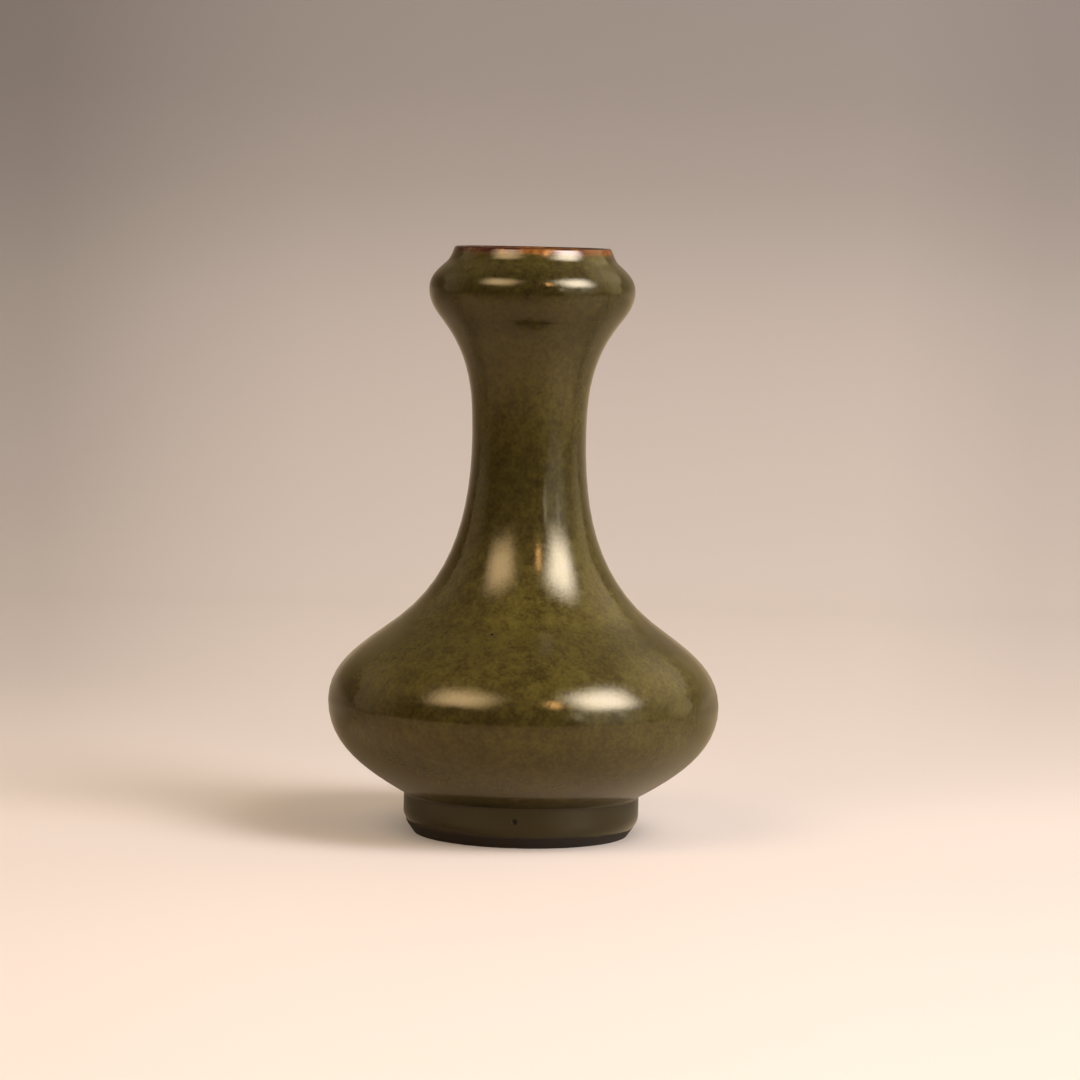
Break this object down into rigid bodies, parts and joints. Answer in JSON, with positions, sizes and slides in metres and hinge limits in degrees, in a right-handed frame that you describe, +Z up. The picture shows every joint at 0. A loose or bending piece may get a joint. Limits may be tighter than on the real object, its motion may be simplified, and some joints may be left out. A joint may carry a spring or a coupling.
{
  "type": "garlic head vase",
  "caption": "Stoneware bottle vase with a low round belly on a turned foot ring, a tall drawn-in neck and a bulbous garlic-shaped head, glazed olive brown with a thin rust-brown lip.",
  "frame": {"origin": "centre of the standing ring, on the surface that the vase stands on", "axes": "+Z up along the vase's axis, from the foot to the lip; the vase is a body of revolution, so +X and +Y are free"},
  "size_m": [0.12, 0.12, 0.18],
  "materials": {
    "clay": "matte, fired stoneware",
    "slip": "matte, fired slip",
    "olive_glaze": "waxy semi-gloss, finely speckled",
    "brown_glaze": "glossy, thin over the clay",
    "lining_glaze": "semi-gloss, finely speckled",
    "iron_wash": "dull, dark iron wash"
  },
  "bodies": {
    "root": {"foot_ring": "clay", "foot_slip_seam": "slip", "lower_body": "clay", "girth_slip_seam": "slip", "upper_body": "clay", "shoulder_slip_seam": "slip", "neck": "clay", "head_slip_seam": "slip", "garlic_head": "clay", "outer_glaze": "olive_glaze", "lip_glaze": "brown_glaze", "inner_glaze": "lining_glaze", "base_glaze": "lining_glaze", "foot_wash": "iron_wash"}
  },
  "joints": []
}
